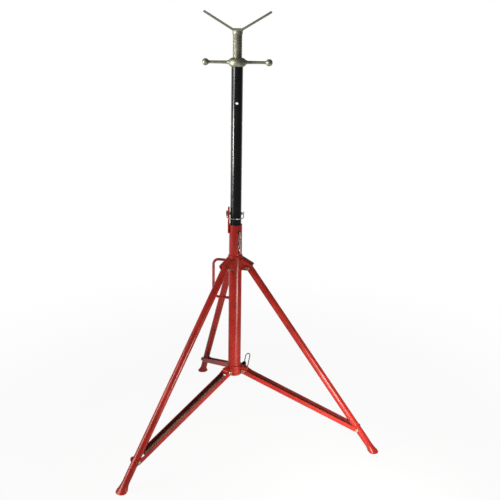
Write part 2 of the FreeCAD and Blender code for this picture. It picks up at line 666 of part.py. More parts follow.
# The whole stand, node by node
def assemble():
    lug_outside = LUG_INSIDE + LUG_WALL
    channel_outside = CHANNEL_INSIDE + CHANNEL_WALL
    nodes = {"main_tube": main_tube(), "stop_ring": stop_ring(), "hub_sleeve": hub_sleeve(),
             "carry_handle": carry_handle(), "pin_bracket": pin_bracket(), "chain_eyes": chain_eyes(),
             "keeper_chain": keeper_chain(), "brace_collar": brace_collar(), "lock_pin": lock_pin(),
             "pull_ring": pull_ring(), "post": post(), "post_cap": post_cap(), "height_pin": height_pin(),
             "pin_bail": pin_bail(), "jack_nut": jack_nut(), "jack_screw": jack_screw(),
             "saddle_boss": saddle_boss(), "v_saddle": v_saddle()}
    nodes["hub_bolts"] = fastener_group(bolt, lug_outside, HUB_PIVOT_R, HUB_PIVOT_Z)
    nodes["hub_nuts"] = fastener_group(nut, lug_outside, HUB_PIVOT_R, HUB_PIVOT_Z)
    nodes["collar_bolts"] = fastener_group(bolt, channel_outside, COLLAR_PIVOT_R, COLLAR_PIVOT_Z)
    nodes["collar_nuts"] = fastener_group(nut, channel_outside, COLLAR_PIVOT_R, COLLAR_PIVOT_Z)
    for name, angle in STATIONS.items():
        station = {"hub_lug": hub_lug(), "collar_lug": collar_lug(), "foot": foot(),
                   "leg": hinged(leg_tube(), HUB_PIVOT_R, HUB_PIVOT_Z, LEG_DROOP),
                   "leg_bush": hinged(leg_bush(), HUB_PIVOT_R, HUB_PIVOT_Z, LEG_DROOP),
                   "brace": hinged(brace(), COLLAR_PIVOT_R, COLLAR_PIVOT_Z, BRACE_DROOP),
                   "brace_bolt": hinged(bolt(channel_outside), JOINT_R, JOINT_Z, BRACE_DROOP),
                   "brace_nut": hinged(nut(channel_outside), JOINT_R, JOINT_Z, BRACE_DROOP)}
        for piece, shape in station.items():
            nodes[piece + "_" + name] = at_station(shape, angle)
    return nodes


os.makedirs("parts", exist_ok=True)
for node, solid in assemble().items():
    solid.translate(vec(AXIS_X, AXIS_Y, 0))
    solid.exportStep(os.path.join("parts", node + ".step"))
    state = "valid" if solid.isValid() else "NOT VALID"
    print(node, state, len(solid.Solids), "solids", round(solid.Volume / 1000, 2), "cm3")
print("brace length", round(BRACE_LENGTH, 3), "droop", round(BRACE_DROOP, 4), "folded droop",
      round(FOLDED_DROOP, 4), "collar lift", round(COLLAR_LIFT, 4), "leg length", round(LEG_LENGTH, 3))
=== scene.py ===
"""Finish of a folding pipe stand: softened copies of its pieces, a cut thread, a casting, welds and paint."""

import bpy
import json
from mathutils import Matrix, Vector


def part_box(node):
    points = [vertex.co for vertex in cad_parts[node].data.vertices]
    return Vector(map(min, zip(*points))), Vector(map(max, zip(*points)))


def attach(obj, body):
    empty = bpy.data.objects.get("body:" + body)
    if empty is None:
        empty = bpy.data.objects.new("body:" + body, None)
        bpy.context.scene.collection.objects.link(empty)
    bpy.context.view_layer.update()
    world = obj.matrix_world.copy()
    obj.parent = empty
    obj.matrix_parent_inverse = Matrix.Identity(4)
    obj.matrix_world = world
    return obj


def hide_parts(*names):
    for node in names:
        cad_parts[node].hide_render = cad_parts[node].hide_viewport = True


bl_info = {
    "name": "Folding Pipe Stand Finish",
    "version": (1, 0, 0),
    "blender": (4, 5, 0),
    "location": "View3D > Sidebar > Stand",
    "description": "Dresses a folding pipe stand with soft edges, welds, a cut thread, enamel and zinc",
    "category": "Object",
}

import json
import math

import bmesh
import bpy
from bpy.props import FloatProperty, FloatVectorProperty, IntProperty, PointerProperty
from mathutils import Matrix, Vector

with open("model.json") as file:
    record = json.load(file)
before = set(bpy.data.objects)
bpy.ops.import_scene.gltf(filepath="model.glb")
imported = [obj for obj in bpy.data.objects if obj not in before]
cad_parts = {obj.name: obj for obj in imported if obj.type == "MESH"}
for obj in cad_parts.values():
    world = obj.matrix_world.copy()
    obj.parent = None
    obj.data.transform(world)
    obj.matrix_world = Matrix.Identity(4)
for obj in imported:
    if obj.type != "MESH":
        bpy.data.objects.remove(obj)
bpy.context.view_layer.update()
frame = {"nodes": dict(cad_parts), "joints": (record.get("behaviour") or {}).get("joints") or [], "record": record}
JOINTS = {joint["name"]: joint for joint in frame["joints"]}
RATIOS = {c["joint"]: c["ratio"] for c in frame["record"]["behaviour"]["couplings"]}
SLOT_OF = {part["node"]: part["material_slot"] for part in frame["record"]["subparts"]}
BODY_OF = {node: body for body, nodes in frame["record"]["behaviour"]["bodies"].items() for node in nodes}
STATIONS = ("right", "rear", "front")
UP = Vector((0, 0, 1))
LEVEL = Vector((1, 1, 0))
AXIS = Vector(JOINTS["nut_spin"]["pos_m"]) * LEVEL

# Meshes: merging distance, and the angles of faces that stay flat, edges that are rounded, and creases
MERGE = 2e-6
FLAT_ANGLE = math.radians(0.3)
SHARP_ANGLE = math.radians(32)
CREASE_ANGLE = math.radians(50)

# Braces: paints of the inner faces (painted shade on the walls, dust with a painted sheen on the floors), share of
# the wall that is outside, and how far a face looks up or across
INNER_WALL = 1
INNER_FLOOR = 2
SKIN_SHARE = 0.8
FLOOR_UP = 0.7
WALL_UP = 0.2
WALL_ACROSS = 0.5

# Thread: half the root's flat and the crest's start in shares of the pitch, spare turns, merging distance
HALF_ROOT = 0.125
CREST_START = 0.34
SPARE_TURNS = 2
THREAD_MERGE = 2e-5

# Jack nut: the ring's outer profile from below, in shares of its radius and half height, and its allowances
NUT_PROFILE = ((0.78, -1.0), (0.93, -0.62), (1.0, -0.05), (0.94, 0.45), (0.80, 0.82), (0.66, 1.0))
BORE_PLAY = 0.0006
BALL_ALLOWANCE = 0.0002
RING_STEPS = 72
ROUND_SIDES = 32

# Weld beads: section, ripple and thin beads in shares of the bead, and places from the walls in metres
BEAD_SIDES = 8
BEAD_VALLEY = 0.84
THIN_BEAD = 0.8
HUB_BEAD_PROUD = 0.0008
BRACKET_BEAD_INSET = 0.0004
BRACKET_BEAD_PROUD = 0.0006
BRACKET_BEAD_END = 0.004
SADDLE_BEAD_INSET = 0.001

# Studio: direction of the white paper, and the cosines and distances between which it shows in reflections
BACKDROP = Vector((-0.30, 0.95, 0)).normalized()
SKY_REACH = (0.80, 0.97)
FLOOR_REACH = (0.5, 2.5)

# Floor: half its width, its share of white near the stand, and the distances between which it turns all white
FLOOR_HALF = 60.0
NEAR_WHITE = 0.93
FLOOR_FADE = (0.7, 2.6)


class StandSizes(bpy.types.PropertyGroup):
    """Sizes of the finish, in metres."""
    edge_radius: FloatProperty(
        name="Edge radius", description="Rounding of sawn and machined edges",
        default=0.0008, unit="LENGTH")
    fastener_radius: FloatProperty(
        name="Fastener edge radius", description="Rounding of bolt heads and nuts",
        default=0.0009, unit="LENGTH")
    channel_wall: FloatProperty(
        name="Channel wall", description="Sheet thickness of the pressed braces",
        default=0.003, unit="LENGTH")
    handle_rod: FloatProperty(
        name="Handle rod", description="Radius of the carry handle's rod",
        default=0.00635, unit="LENGTH")
    weld_radius: FloatProperty(
        name="Weld radius", description="Half width of a weld bead",
        default=0.0032, unit="LENGTH")
    weld_step: FloatProperty(
        name="Weld step", description="Distance from a weld's ripple to the valley beside it",
        default=0.0028, unit="LENGTH")
    thread_pitch: FloatProperty(
        name="Thread pitch", description="Lift of the screw in one turn of the nut",
        default=abs(RATIOS["screw_lift"]) * math.tau, unit="LENGTH")
    thread_depth: FloatProperty(
        name="Thread depth", description="Height of the thread's crest above its root",
        default=0.0021, unit="LENGTH")
    thread_steps: IntProperty(
        name="Thread steps", description="Faces round one turn of the thread", default=40)
    saddle_plate: FloatProperty(
        name="Saddle plate", description="Thickness of the bent saddle bar",
        default=0.0095, unit="LENGTH")
    saddle_flat: FloatProperty(
        name="Saddle flat", description="Half length of the flat, to the corners that the wings' lines make",
        default=0.020, unit="LENGTH")
    saddle_tip: FloatProperty(
        name="Saddle tip", description="Distance of a wing's upper edge from the axis",
        default=0.141, unit="LENGTH")
    saddle_bend: FloatProperty(
        name="Saddle bend", description="Inner bend radius of the saddle bar",
        default=0.012, unit="LENGTH")
    nut_ball: FloatProperty(
        name="Nut ball", description="Radius of the balls on the jack nut's arms",
        default=0.015, unit="LENGTH")
    nut_arm: FloatProperty(
        name="Nut arm", description="Radius of the jack nut's arms",
        default=0.0066, unit="LENGTH")
    casting_voxel: FloatProperty(
        name="Casting detail", description="Cell size at which the cast nut's parts run together",
        default=0.0013, unit="LENGTH")


class StandColours(bpy.types.PropertyGroup):
    """Base colours of the finishes."""
    red: FloatVectorProperty(
        name="Red enamel", description="Paint of the tubes, lugs and braces",
        subtype="COLOR", default=(0.480, 0.028, 0.018))
    red_deep: FloatVectorProperty(
        name="Deep red", description="Thicker runs of the red paint",
        subtype="COLOR", default=(0.350, 0.016, 0.011))
    bare_metal: FloatVectorProperty(
        name="Bare metal", description="Metal that shows where the paint is rubbed through",
        subtype="COLOR", default=(0.160, 0.120, 0.100))
    grime: FloatVectorProperty(
        name="Grime", description="Dust and oil on the red paint",
        subtype="COLOR", default=(0.090, 0.022, 0.016))
    dust: FloatVectorProperty(
        name="Dust", description="Grey dust on the black paint",
        subtype="COLOR", default=(0.026, 0.027, 0.026))
    # Painted shade: about half the red's colour on the inner walls of the braces, for the shade that falls inside
    # them
    channel: FloatVectorProperty(
        name="Channel inside", description="Thin paint on the inner walls of the braces",
        subtype="COLOR", default=(0.240, 0.024, 0.017))
    # Dust and painted light: a pale brown-grey on the floors of the braces, lighter than the dust alone, paints on
    # the sheen they show in shade
    channel_dust_and_sheen: FloatVectorProperty(
        name="Channel dust", description="Dust that lies in the braces",
        subtype="COLOR", default=(0.330, 0.240, 0.190))
    black: FloatVectorProperty(
        name="Black enamel", description="Paint of the post and its cap",
        subtype="COLOR", default=(0.008, 0.009, 0.010))
    zinc_thread: FloatVectorProperty(
        name="Thread zinc", description="Dull zinc plate of the screw and its boss",
        subtype="COLOR", default=(0.430, 0.430, 0.355))
    zinc: FloatVectorProperty(
        name="Zinc", description="Dull zinc plate of the cast nut and the saddle bar",
        subtype="COLOR", default=(0.470, 0.474, 0.375))
    bolt: FloatVectorProperty(
        name="Bolt plate", description="Pale yellow plate of the bolts and nuts",
        subtype="COLOR", default=(0.640, 0.540, 0.380))
    wire: FloatVectorProperty(
        name="Wire", description="Bright plate of the height pin, bail and chain",
        subtype="COLOR", default=(0.760, 0.760, 0.740))
    dark_steel: FloatVectorProperty(
        name="Dark steel", description="Oiled steel of the lock pin, its ring, the bushes and chain eyes",
        subtype="COLOR", default=(0.050, 0.050, 0.036))
    floor: FloatVectorProperty(
        name="Floor", description="Pale studio floor",
        subtype="COLOR", default=(0.86, 0.86, 0.86))


class StageSettings(bpy.types.PropertyGroup):
    """Camera and light of the studio."""
    camera_offset: FloatVectorProperty(
        name="Camera offset", description="Camera's place from the stand's axis on the floor",
        subtype="TRANSLATION", default=(0.0675, -3.162, 1.928))
    camera_pitch: FloatProperty(
        name="Camera pitch", description="Angle of the view below level",
        subtype="ANGLE", default=math.radians(17.08))
    camera_roll: FloatProperty(
        name="Camera roll", description="Lean of the camera",
        subtype="ANGLE", default=math.radians(0.923))
    lens: FloatProperty(
        name="Lens", description="Focal length on a 36 mm sensor",
        unit="CAMERA", default=51.27)
    strip_power: FloatProperty(
        name="Strip light", description="Power of the box on the left that draws the post's stripe",
        unit="POWER", default=5.2)
    side_power: FloatProperty(
        name="Side light", description="Power of the soft box high on the left",
        unit="POWER", default=3.1)
    low_power: FloatProperty(
        name="Low light", description="Power of the low soft box at the front right",
        unit="POWER", default=8.0)
    brace_power: FloatProperty(
        name="Brace light", description="Power of the small box before the right brace",
        unit="POWER", default=0.55)
    leg_power: FloatProperty(
        name="Leg light", description="Power of the box on the left of the front leg",
        unit="POWER", default=2.4)
    daylight: FloatVectorProperty(
        name="Daylight", description="Colour of the strip and side lights",
        subtype="COLOR", default=(1.0, 0.97, 0.89))
    warmth: FloatVectorProperty(
        name="Warmth", description="Colour of the low, brace and leg lights",
        subtype="COLOR", default=(1.0, 0.93, 0.84))
    fill: FloatProperty(
        name="Fill", description="Level of the soft light from all round",
        subtype="FACTOR", default=0.20, min=0.0, max=1.0)
    room: FloatProperty(
        name="Room", description="Level of the dim room that shows in reflections",
        subtype="FACTOR", default=0.11, min=0.0, max=1.0)


def sizes():
    return bpy.context.scene.stand_sizes


def colours():
    return bpy.context.scene.stand_colours


# Shader trees
def add(tree, kind, **values):
    """A new node with some of its settings and unlinked inputs filled in."""
    node = tree.nodes.new(kind)
    for key, value in values.items():
        if key in node.inputs:
            node.inputs[key].default_value = value
        else:
            setattr(node, key, value)
    return node


def join(tree, source, target):
    tree.links.new(source, target)


def feed(tree, socket, value):
    """Give an input a link from a socket, or a plain number."""
    if isinstance(value, bpy.types.NodeSocket):
        join(tree, value, socket)
    else:
        socket.default_value = value


def math_node(tree, operation, first, second):
    """A Math node whose inputs are sockets or numbers."""
    node = add(tree, "ShaderNodeMath", operation=operation)
    for socket, value in zip(node.inputs, (first, second)):
        feed(tree, socket, value)
    return node.outputs[0]


def mix_colour(tree, factor, first, second):
    """A Mix node between two colours, each a socket or a plain colour."""
    node = add(tree, "ShaderNodeMix", data_type="RGBA")
    join(tree, factor, node.inputs["Factor"])
    for socket, value in ((node.inputs[6], first), (node.inputs[7], second)):
        feed(tree, socket, value if isinstance(value, bpy.types.NodeSocket) else (*value, 1))
    return node.outputs[2]


def ramp(tree, value, low, high):
    """A smooth step from 0 at low to 1 at high."""
    node = add(tree, "ShaderNodeMapRange", interpolation_type="SMOOTHSTEP")
    node.inputs["From Min"].default_value = low
    node.inputs["From Max"].default_value = high
    join(tree, value, node.inputs["Value"])
    return node.outputs[0]


def noise(tree, coordinates, scale, detail=3.0, roughness=0.55):
    """Noise from 0 to 1 whose scale is a socket or a number."""
    node = add(tree, "ShaderNodeTexNoise", Detail=detail, Roughness=roughness)
    join(tree, coordinates, node.inputs["Vector"])
    feed(tree, node.inputs["Scale"], scale)
    return node.outputs["Fac"]


def object_coordinates(tree):
    return add(tree, "ShaderNodeTexCoord").outputs["Object"]


def group_tree(name, inputs, outputs):
    """An empty shader group with named float inputs, and its two ends."""
    tree = bpy.data.node_groups.new(name, "ShaderNodeTree")
    for label, default in inputs:
        socket = tree.interface.new_socket(label, in_out="INPUT", socket_type="NodeSocketFloat")
        socket.default_value = default
    for label in outputs:
        tree.interface.new_socket(label, in_out="OUTPUT", socket_type="NodeSocketFloat")
    return tree, tree.nodes.new("NodeGroupInput").outputs, tree.nodes.new("NodeGroupOutput").inputs


def paint_skin_group():
    """Orange peel, slow thickness changes and rubbed edges of a brushed or sprayed enamel."""
    name = "Paint Skin"
    if name in bpy.data.node_groups:
        return bpy.data.node_groups[name]
    tree, given, result = group_tree(
        name, (("Peel Scale", 420.0), ("Run Scale", 9.0), ("Rub", 0.5)), ("Height", "Thickness", "Rubbed"))
    peel_height = 0.3
    run_height = 1.5
    place = object_coordinates(tree)
    peel = noise(tree, place, given["Peel Scale"], detail=2.0)
    runs = noise(tree, place, given["Run Scale"], detail=4.0)
    edge = add(tree, "ShaderNodeAttribute", attribute_name="edge").outputs["Fac"]
    chips = noise(tree, place, scale=260.0, detail=5.0, roughness=0.7)
    bite = math_node(tree, "MULTIPLY", math_node(tree, "MULTIPLY", edge, given["Rub"]), chips)
    peel = math_node(tree, "MULTIPLY", peel, peel_height)
    swell = math_node(tree, "MULTIPLY", runs, run_height)
    join(tree, math_node(tree, "ADD", peel, swell), result["Height"])
    join(tree, ramp(tree, runs, low=0.35, high=0.68), result["Thickness"])
    join(tree, ramp(tree, bite, low=0.24, high=0.34), result["Rubbed"])
    return tree


def handling_marks_group():
    """Fine scratches that run along Z, and patches of handling dirt."""
    name = "Handling Marks"
    if name in bpy.data.node_groups:
        return bpy.data.node_groups[name]
    tree, given, result = group_tree(
        name, (("Scratch Scale", 180.0), ("Dirt Scale", 14.0), ("Amount", 0.5)), ("Scratches", "Dirt"))
    scratch_stretch = (1.0, 1.0, 0.03)
    place = object_coordinates(tree)
    stretch = add(tree, "ShaderNodeMapping", Scale=scratch_stretch)
    join(tree, place, stretch.inputs["Vector"])
    lines = noise(tree, stretch.outputs["Vector"], given["Scratch Scale"], detail=2.0, roughness=0.5)
    patches = noise(tree, place, given["Dirt Scale"], detail=6.0, roughness=0.62)
    where = noise(tree, place, scale=6.0, detail=2.0)
    thin = ramp(tree, lines, low=0.66, high=0.74)
    thin = math_node(tree, "MULTIPLY", thin, ramp(tree, where, low=0.48, high=0.62))
    dirt = ramp(tree, patches, low=0.50, high=0.74)
    join(tree, math_node(tree, "MULTIPLY", thin, given["Amount"]), result["Scratches"])
    join(tree, math_node(tree, "MULTIPLY", dirt, given["Amount"]), result["Dirt"])
    return tree


def plate_mottle_group():
    """Mottle and fine grain of dull plate, and the uneven roughness that they give."""
    name = "Plate Mottle"
    if name in bpy.data.node_groups:
        return bpy.data.node_groups[name]
    tree, given, result = group_tree(
        name, (("Mottle Scale", 45.0), ("Grain Scale", 700.0)), ("Mottle", "Grain", "Roughness"))
    mottle_roughness = 0.22
    grain_roughness = 0.14
    place = object_coordinates(tree)
    mottle = noise(tree, place, given["Mottle Scale"], detail=5.0, roughness=0.6)
    grain = noise(tree, place, given["Grain Scale"], detail=2.0)
    join(tree, ramp(tree, mottle, low=0.38, high=0.66), result["Mottle"])
    join(tree, grain, result["Grain"])
    blotch = math_node(tree, "MULTIPLY", mottle, mottle_roughness)
    speck = math_node(tree, "MULTIPLY", grain, grain_roughness)
    join(tree, math_node(tree, "ADD", blotch, speck), result["Roughness"])
    return tree


def use_group(tree, group, **values):
    """Place a group in a material, with spaces in its input names written as underscores."""
    node = tree.nodes.new("ShaderNodeGroup")
    node.node_tree = group
    for key, value in values.items():
        node.inputs[key.replace("_", " ")].default_value = value
    return node.outputs


def bump(tree, shader, height, strength, distance):
    node = add(tree, "ShaderNodeBump", Strength=strength, Distance=distance)
    join(tree, height, node.inputs["Height"])
    join(tree, node.outputs["Normal"], shader.inputs["Normal"])


# Materials
def start_material(name):
    """The tree of a new material with only its shader, or None if the script has made it already."""
    if name in SLOT_OF.values():
        raise ValueError("the frame has a plain material named " + name)
    if name in bpy.data.materials:
        return None
    material = bpy.data.materials.new(name)
    material.use_nodes = True
    return material.node_tree


def darker(colour, share):
    return [share * part for part in colour]


def enamel(name, colour, deep, grime, roughness, gloss, dirt, rub):
    """Gloss paint with orange peel, uneven thickness, handling dirt and rubbed edges."""
    tree = start_material(name)
    if tree:
        dirt_dulling = 0.30
        rub_dulling = 0.25
        bare = colours().bare_metal
        shader = tree.nodes["Principled BSDF"]
        skin = use_group(tree, paint_skin_group(), Rub=rub)
        marks = use_group(tree, handling_marks_group(), Amount=dirt)
        base = mix_colour(tree, skin["Thickness"], colour, deep)
        base = mix_colour(tree, marks["Dirt"], base, grime)
        base = mix_colour(tree, marks["Scratches"], base, bare)
        base = mix_colour(tree, skin["Rubbed"], base, bare)
        join(tree, base, shader.inputs["Base Color"])
        dull = math_node(tree, "MULTIPLY", marks["Dirt"], dirt_dulling)
        dull = math_node(tree, "ADD", dull, math_node(tree, "MULTIPLY", skin["Rubbed"], rub_dulling))
        join(tree, math_node(tree, "ADD", dull, roughness), shader.inputs["Roughness"])
        shader.inputs["Specular IOR Level"].default_value = gloss
        bump(tree, shader, skin["Height"], strength=0.03, distance=0.0003)
    return bpy.data.materials[name]


def red_enamel():
    tones = colours()
    return enamel("red_enamel", tones.red, tones.red_deep, tones.grime,
                  roughness=0.25, gloss=0.40, dirt=0.25, rub=0.38)


def black_enamel():
    tones = colours()
    return enamel("black_enamel", tones.black, darker(tones.black, 0.6), tones.dust,
                  roughness=0.18, gloss=0.40, dirt=0.30, rub=0.45)


def channel_inside():
    """Painted shade: a darker, matt copy of the red on the inner walls of a brace."""
    name = "channel_inside"
    tree = start_material(name)
    if tree:
        tones = colours()
        shader = tree.nodes["Principled BSDF"]
        skin = use_group(tree, paint_skin_group(), Run_Scale=16.0, Rub=0.25)
        base = mix_colour(tree, skin["Thickness"], tones.channel, darker(tones.channel, 0.7))
        base = mix_colour(tree, skin["Rubbed"], base, tones.bare_metal)
        join(tree, base, shader.inputs["Base Color"])
        shader.inputs["Roughness"].default_value = 0.55
        bump(tree, shader, skin["Height"], strength=0.2, distance=0.0005)
    return bpy.data.materials[name]


def channel_floor():
    """Brown-grey dust over the web of a brace, made paler as a painted sheen, with patches of the walls' painted
    shade.
    """
    name = "channel_floor"
    tree = start_material(name)
    if tree:
        tones = colours()
        shader = tree.nodes["Principled BSDF"]
        marks = use_group(tree, handling_marks_group(), Dirt_Scale=30.0, Amount=0.8)
        base = mix_colour(tree, marks["Dirt"], tones.channel_dust_and_sheen, tones.channel)
        join(tree, base, shader.inputs["Base Color"])
        shader.inputs["Roughness"].default_value = 0.45
        bump(tree, shader, marks["Dirt"], strength=0.2, distance=0.0003)
    return bpy.data.materials[name]


def plate(name, colour, stain, roughness, grain_depth, mottle_scale=45.0):
    """Bare or plated metal with mottle, fine grain and uneven shine; its stain is a share of its colour."""
    tree = start_material(name)
    if tree:
        shader = tree.nodes["Principled BSDF"]
        mottle = use_group(tree, plate_mottle_group(), Mottle_Scale=mottle_scale)
        base = mix_colour(tree, mottle["Mottle"], colour, darker(colour, stain))
        join(tree, base, shader.inputs["Base Color"])
        join(tree, math_node(tree, "ADD", mottle["Roughness"], roughness), shader.inputs["Roughness"])
        shader.inputs["Metallic"].default_value = 1.0
        bump(tree, shader, mottle["Grain"], strength=0.03, distance=grain_depth)
    return bpy.data.materials[name]


def nut_zinc():
    return plate("nut_zinc", colours().zinc, stain=0.82, roughness=0.38, grain_depth=0.0006)


def bar_zinc():
    return plate("bar_zinc", colours().zinc, stain=0.82, roughness=0.38, grain_depth=0.0003)


def thread_zinc():
    return plate("thread_zinc", colours().zinc_thread, stain=0.72, roughness=0.46, grain_depth=0.0002)


def bolt_zinc():
    return plate("bolt_zinc", colours().bolt, stain=0.7, roughness=0.14, grain_depth=0.0002,
                 mottle_scale=120.0)


def bright_zinc():
    return plate("bright_zinc", colours().wire, stain=0.6, roughness=0.12, grain_depth=0.0001,
                 mottle_scale=150.0)


def oiled_steel():
    return plate("oiled_steel", colours().dark_steel, stain=0.5, roughness=0.22, grain_depth=0.0002,
                 mottle_scale=90.0)


# Meshes
def edges_of(geometry):
    return [g for g in geometry if isinstance(g, bmesh.types.BMEdge)]


def verts_of(geometry):
    return [g for g in geometry if isinstance(g, bmesh.types.BMVert)]


def finish_piece(bm, name, body, materials, replaced=(), slot=None):
    """Turn a bmesh into a smooth shaded piece that rides on a body."""
    mesh = bpy.data.meshes.new(name)
    bm.to_mesh(mesh)
    bm.free()
    mesh.shade_smooth()
    mesh.set_sharp_from_angle(angle=CREASE_ANGLE)
    piece = bpy.data.objects.new(name, mesh)
    bpy.context.scene.collection.objects.link(piece)
    shading = piece.modifiers.new("flat_faces", "WEIGHTED_NORMAL")
    shading.mode = "FACE_AREA"
    shading.keep_sharp = True
    for material in materials:
        mesh.materials.append(material)
    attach(piece, body)
    if replaced:
        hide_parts(*replaced)
        slot = slot or SLOT_OF[replaced[0]]


def is_sharp(edge):
    return edge.is_manifold and edge.calc_face_angle() > SHARP_ANGLE


def solid_copy(node):
    """A copy of a node's solid with its flat faces whole and room for a mark on rounded edges."""
    bm = bmesh.new()
    bm.from_mesh(frame["nodes"][node].data)
    bm.faces.layers.float.new("edge")
    bmesh.ops.remove_doubles(bm, verts=bm.verts, dist=MERGE)
    bmesh.ops.dissolve_limit(bm, angle_limit=FLAT_ANGLE, verts=bm.verts, edges=bm.edges)
    return bm


def round_edges(bm, radius, segments):
    """Round all sharp edges, and mark the new faces, where paint wears first."""
    marks = bm.faces.layers.float["edge"]
    sharp = [edge for edge in bm.edges if is_sharp(edge)]
    rounded = bmesh.ops.bevel(bm, geom=sharp, offset=radius, offset_type="OFFSET", segments=segments,
                              profile=0.5, affect="EDGES", clamp_overlap=True, material=-1)
    for face in rounded["faces"]:
        face[marks] = 1.0


def soften_node(node, radius, material, segments=2):
    """A piece that stands for a node's solid, with its sharp edges rounded."""
    bm = solid_copy(node)
    round_edges(bm, radius, segments)
    finish_piece(bm, node + "_shape", BODY_OF[node], [material], [node])


def paint_node(node, material):
    """Give a node's own solid its finish."""
    for place in frame["nodes"][node].material_slots:
        place.material = material


def radius_of(node):
    """Radius of an upright round node, from the width of its box."""
    low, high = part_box(node)
    return (high.x - low.x) / 2


def half_width_across(node, place):
    """Half the width of a node's solid along Y of a frame."""
    to_local = place.inverted()
    return max(abs((to_local @ v.co).y) for v in frame["nodes"][node].data.vertices)


def station_matrix(station):
    """Frame of a leg station: X outwards, Y along the pivots, Z up, on the stand's axis."""
    across = Vector(JOINTS["brace_fold_" + station]["axis"])
    outward = across.cross(UP)
    return Matrix.Translation(AXIS) @ Matrix((outward, across, UP)).transposed().to_4x4()


def brace_matrix(station):
    """Frame of a brace: X from the collar pivot to the leg joint, Y along the pivots."""
    start = Vector(JOINTS["brace_fold_" + station]["pos_m"])
    end = Vector(JOINTS["leg_fold_" + station]["pos_m"])
    along = (end - start).normalized()
    across = Vector(JOINTS["brace_fold_" + station]["axis"])
    return Matrix.Translation(start) @ Matrix((along, across, along.cross(across))).transposed().to_4x4()


def circle_points(centre, radius, step, turn=Matrix.Identity(3)):
    """Points round a circle, an even number of about a step apart, in a plane set by a turn from level."""
    count = 2 * round(math.pi * radius / step)
    angles = [math.tau * k / count for k in range(count)]
    return [centre + turn @ Vector((radius * math.cos(a), radius * math.sin(a), 0)) for a in angles]


def line_points(start, end, step):
    """Points from start to end, about a step apart."""
    count = max(3, round((end - start).length / step))
    return [start.lerp(end, k / (count - 1)) for k in range(count)]


def weld_bead(bm, points, side, radius, closed=False):
    """A rippled bead along a list of points, with its sections square to them and turned by a side."""
    count = len(points)
    frames = []
    for k, point in enumerate(points):
        before = points[k - 1] if closed or k else point
        after = points[(k + 1) % count] if closed or k < count - 1 else point
        along = (after - before).normalized()
        across = along.cross(side).normalized()
        swell = radius * (1.0 if k % 2 else BEAD_VALLEY)
        turn = Matrix((across, along.cross(across), along)).transposed().to_4x4()
        frames.append(Matrix.Translation(point) @ turn @ Matrix.Scale(swell, 4))
    first = bmesh.ops.create_circle(bm, cap_ends=False, segments=BEAD_SIDES, radius=1.0, matrix=frames[0])
    start = list({e for v in first["verts"] for e in v.link_edges})
    ring = start
    for old, new in zip(frames, frames[1:]):
        made = bmesh.ops.extrude_edge_only(bm, edges=ring)["geom"]
        ring = edges_of(made)
        bmesh.ops.transform(bm, matrix=new @ old.inverted(), verts=verts_of(made))
    if closed:
        bmesh.ops.bridge_loops(bm, edges=start + ring)
    else:
        bmesh.ops.holes_fill(bm, edges=start + ring, sides=0)


def finish_welds(bm, name, node, material):
    """Turn beads into a piece that rides with a node."""
    bmesh.ops.recalc_face_normals(bm, faces=bm.faces)
    finish_piece(bm, name, BODY_OF[node], [material], slot=SLOT_OF[node])


# Pieces
class STAND_OT_tubes(bpy.types.Operator):
    """Main tube, hub sleeve, stop ring, post with its cap, and legs with their bushes and shoes"""
    bl_idname = "stand.tubes"
    bl_label = "Tubes"

    def execute(self, context):
        edge = sizes().edge_radius
        for node in ("main_tube", "stop_ring", "hub_sleeve"):
            soften_node(node, edge, red_enamel())
        for node in ("post", "post_cap"):
            soften_node(node, edge, black_enamel())
        for station in STATIONS:
            soften_node("leg_" + station, edge, red_enamel())
            soften_node("foot_" + station, 2 * edge, red_enamel(), segments=3)
            soften_node("leg_bush_" + station, edge / 2, oiled_steel())
        return {"FINISHED"}


class STAND_OT_hub(bpy.types.Operator):
    """Leg lugs, handle and pin bracket"""
    bl_idname = "stand.hub"
    bl_label = "Hub"

    def execute(self, context):
        edge = sizes().edge_radius
        for station in STATIONS:
            soften_node("hub_lug_" + station, 1.5 * edge, red_enamel(), segments=3)
        soften_node("pin_bracket", edge, red_enamel())
        paint_node("carry_handle", red_enamel())
        return {"FINISHED"}


class STAND_OT_collar(bpy.types.Operator):
    """Sliding collar with the braces' blocks, the lock pin and its ring"""
    bl_idname = "stand.collar"
    bl_label = "Collar"

    def execute(self, context):
        edge = sizes().edge_radius
        soften_node("brace_collar", edge, red_enamel())
        for station in STATIONS:
            soften_node("collar_lug_" + station, edge, red_enamel())
        for node in ("lock_pin", "pull_ring"):
            paint_node(node, oiled_steel())
        return {"FINISHED"}


class STAND_OT_braces(bpy.types.Operator):
    """Pressed channels, red outside, with painted shade on their inner walls and dust under a painted sheen on
    their floors
    """
    bl_idname = "stand.braces"
    bl_label = "Braces"

    def execute(self, context):
        skin = SKIN_SHARE * sizes().channel_wall
        for station in STATIONS:
            node = "brace_" + station
            bm = solid_copy(node)
            round_edges(bm, sizes().edge_radius, 2)
            place = brace_matrix(station)
            to_local = place.inverted()
            half_width = half_width_across(node, place) - skin
            lowest = min((to_local @ v.co).z for v in bm.verts) + skin
            for face in bm.faces:
                centre = to_local @ face.calc_center_median()
                normal = to_local.to_3x3() @ face.normal
                inside = abs(centre.y) < half_width and centre.z > lowest
                # Inner floors get the dust with its painted sheen, inner walls get the painted shade
                if inside and normal.z > FLOOR_UP:
                    face.material_index = INNER_FLOOR
                elif inside and (abs(normal.y) > WALL_ACROSS or normal.z > WALL_UP):
                    face.material_index = INNER_WALL
            paints = [red_enamel(), channel_inside(), channel_floor()]
            finish_piece(bm, node + "_shape", node, paints, [node])
        return {"FINISHED"}


